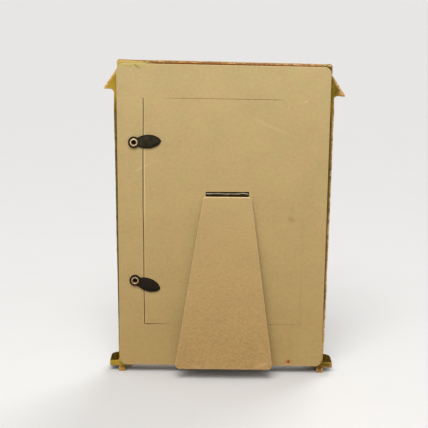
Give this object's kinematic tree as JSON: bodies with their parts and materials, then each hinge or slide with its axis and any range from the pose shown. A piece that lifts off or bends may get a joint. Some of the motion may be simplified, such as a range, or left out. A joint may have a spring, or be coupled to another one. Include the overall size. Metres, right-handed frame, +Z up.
{
  "type": "picture frame",
  "caption": "Upright table-top picture frame: cast architectural body, glass, and a card back with a hinged door, turn buttons and a fold-out easel leg.",
  "frame": {"origin": "on the floor under the feet, in the middle of the whole object's width and depth, easel leg included", "axes": "+Z up; the picture faces -Y, the card back and its easel leg face +Y; +X is the side of the turn buttons, the door is hinged at -X"},
  "size_m": [0.1586, 0.0326, 0.2147],
  "materials": {
    "cast_resin_gold": "cast resin painted olive and antique gold, worn at the edges",
    "window_glass": "clear float glass",
    "print_paper": "blank satin photo paper",
    "filler_card": "grey millboard",
    "adhesive": "double-sided tape",
    "back_card": "beige paper-faced board",
    "button_black": "black lacquered pressed steel",
    "eyelet_brass": "rolled brass with a worn nickel wash",
    "hinge_cloth": "black coated cloth tape"
  },
  "bodies": {
    "frame": {"frame_casting": "cast_resin_gold", "glass_pane": "window_glass", "photo_insert": "print_paper", "filler_board": "filler_card", "adhesive_strips": "adhesive", "back_board": "back_card", "eyelet_upper": "eyelet_brass", "eyelet_lower": "eyelet_brass"},
    "door": {"door_panel": "back_card", "hinge_tape_anchor": "hinge_cloth"},
    "leg": {"easel_leg": "back_card", "hinge_tape_flap": "hinge_cloth"},
    "upper_button": {"turn_button_upper": "button_black"},
    "lower_button": {"turn_button_lower": "button_black"}
  },
  "joints": [
    {"name": "door_fold", "type": "hinge", "parent": "frame", "child": "door", "pos_m": [-0.0537, 0.00226, 0.1134], "axis": [0, 0, 1], "range_deg": [0, 150]},
    {"name": "leg_fold", "type": "hinge", "parent": "door", "child": "leg", "pos_m": [-0.0031, 0.00296, 0.1258], "axis": [1, 0, 0], "range_deg": [-5.5, 24.5]},
    {"name": "upper_button_turn", "type": "hinge", "parent": "frame", "child": "upper_button", "pos_m": [0.0589, 0.003, 0.16165], "axis": [0, 1, 0], "continuous": true},
    {"name": "lower_button_turn", "type": "hinge", "parent": "frame", "child": "lower_button", "pos_m": [0.0589, 0.003, 0.06695], "axis": [0, 1, 0], "continuous": true}
  ]
}
